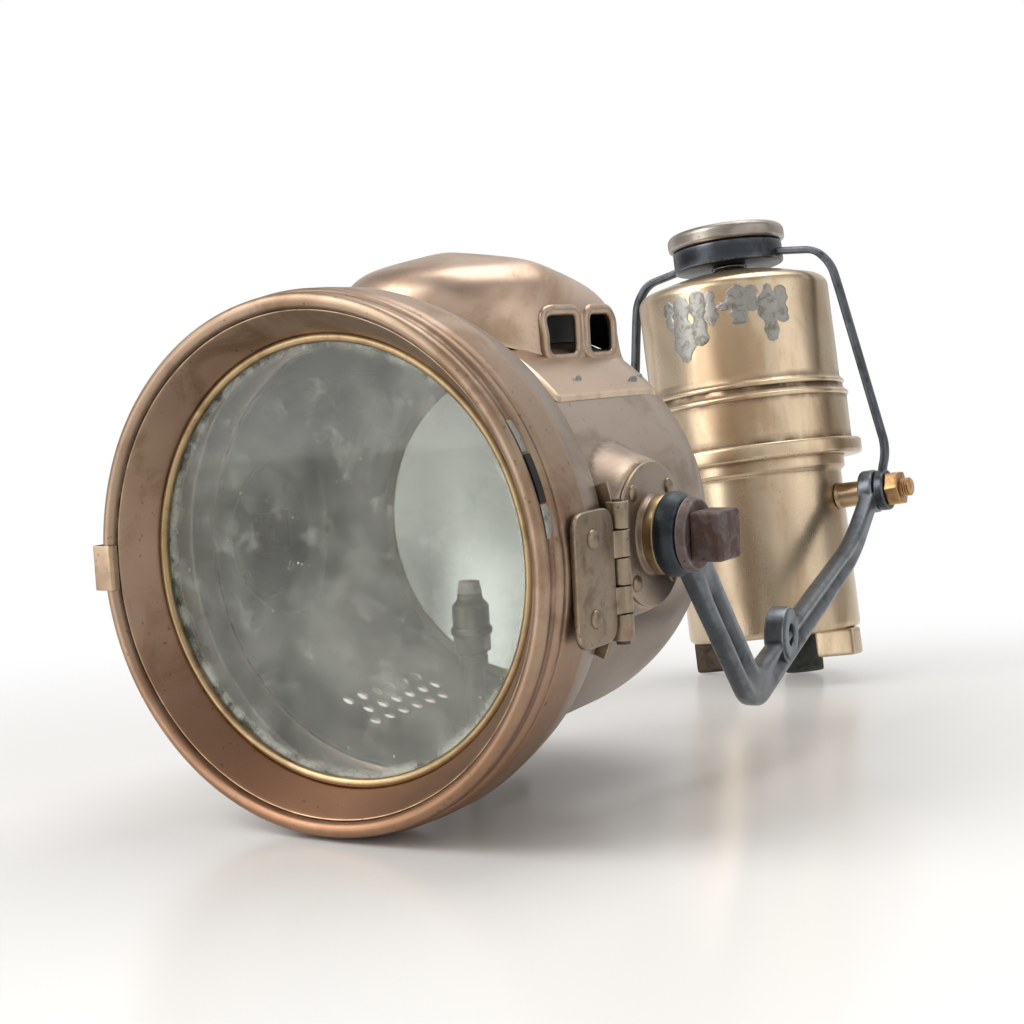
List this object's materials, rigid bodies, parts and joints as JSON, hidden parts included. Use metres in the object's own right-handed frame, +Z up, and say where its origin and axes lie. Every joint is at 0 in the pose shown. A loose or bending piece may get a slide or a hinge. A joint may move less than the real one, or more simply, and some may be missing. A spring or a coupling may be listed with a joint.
{
  "type": "motorcycle carbide headlamp",
  "caption": "Brass acetylene motorcycle headlamp with hinged glass door, vented canopy, bent side brackets and a drip gas generator held by a bail and clamp wheel",
  "frame": {"origin": "middle of the whole in plan, at the height of the table it stands on", "axes": "+Y runs along the lamp from its glass to its generator, +X is the side of the door's hinge, +Z is up"},
  "size_m": [0.2086, 0.3927, 0.2082],
  "materials": {
    "patina_brass": "satin, brown patina with worn gold edges",
    "copper_brown_brass": "matte, copper-brown patina",
    "gold_brass": "satin, worn bright",
    "hinge_brass": "satin, tarnished",
    "polished_brass": "polished, with streaks of tarnish",
    "dark_brass": "dark tarnish",
    "black_iron": "worn black paint on forged iron",
    "rusty_iron": "rusted",
    "dull_nickel": "dull nickel plate",
    "clear_glass": "old, hazy",
    "mirror_glass": "dulled silvering",
    "old_rubber": "hardened, dull",
    "felt": "coarse felt",
    "tinplate": "dull tinplate",
    "steatite": "fired stone, matte"
  },
  "bodies": {
    "brackets": {"bracket_right": "black_iron", "bracket_left": "black_iron"},
    "lamp": {"lamp_body": "patina_brass", "front_ring": "patina_brass", "canopy": "patina_brass", "window_rims": "patina_brass", "canopy_baffle": "patina_brass", "mirror_glass": "mirror_glass", "mirror_bezel": "gold_brass", "mirror_straps": "gold_brass", "burner_stem": "polished_brass", "burner_holder": "polished_brass", "burner_tip": "steatite", "gas_nipple": "polished_brass", "hinge_body_leaf": "hinge_brass", "hinge_body_rivets": "hinge_brass", "hinge_pin": "rusty_iron", "pivot_plates": "patina_brass", "plate_rivets": "patina_brass", "pivot_collars": "gold_brass", "pivot_bolts": "rusty_iron", "pivot_washers": "rusty_iron", "pivot_nuts": "rusty_iron"},
    "door": {"door_rim": "copper_brown_brass", "retaining_ring": "gold_brass", "front_glass": "clear_glass", "glass_seal": "old_rubber", "hinge_door_leaf": "hinge_brass", "hinge_door_rivets": "hinge_brass", "thumb_tab": "copper_brown_brass"},
    "generator": {"carbide_container": "polished_brass", "base_lug_right": "polished_brass", "base_lug_left": "dark_brass", "outlet_spigot": "polished_brass", "hose_stub": "old_rubber", "joint_gasket": "old_rubber", "water_tank": "polished_brass", "tank_floor": "polished_brass", "filler_stopper": "dark_brass", "drip_valve": "polished_brass", "carbide_basket": "tinplate", "gas_filter": "felt", "trunnion_bosses": "polished_brass", "trunnion_bolts": "polished_brass", "trunnion_nuts": "polished_brass"},
    "bail": {"bail": "black_iron"},
    "clamp_pad": {"clamp_pad": "dull_nickel"},
    "clamp_wheel": {"clamp_wheel": "dull_nickel"}
  },
  "joints": [
    {"name": "lamp_tilt", "type": "hinge", "parent": "brackets", "child": "lamp", "pos_m": [0, -0.1168, 0.0879], "axis": [1, 0, 0], "range_deg": [-25, 25]},
    {"name": "generator_tilt", "type": "hinge", "parent": "brackets", "child": "generator", "pos_m": [0.002, 0.14568, 0.07772], "axis": [0.9923, -0.0041, 0.1235], "range_deg": [-20, 20]},
    {"name": "bail_swing", "type": "hinge", "parent": "generator", "child": "bail", "pos_m": [0.002, 0.14568, 0.07772], "axis": [0.9923, -0.0041, 0.1235], "range_deg": [-110, 55]},
    {"name": "door_swing", "type": "hinge", "parent": "lamp", "child": "door", "pos_m": [0.0843, -0.15257, 0.08011], "axis": [0, -0.0332, 0.9995], "range_deg": [0, 105]},
    {"name": "clamp_slide", "type": "slide", "parent": "bail", "child": "clamp_pad", "axis": [-0.1232, 0.0474, 0.9913], "range_m": [0, 0.002]},
    {"name": "clamp_turn", "type": "hinge", "parent": "clamp_pad", "child": "clamp_wheel", "pos_m": [0.002, 0.14568, 0.07772], "axis": [-0.1232, 0.0474, 0.9913], "range_deg": [0, 720]}
  ],
  "couplings": [
    {"joint": "clamp_slide", "follows": "clamp_turn", "m_per_rad": 0.000159}
  ]
}
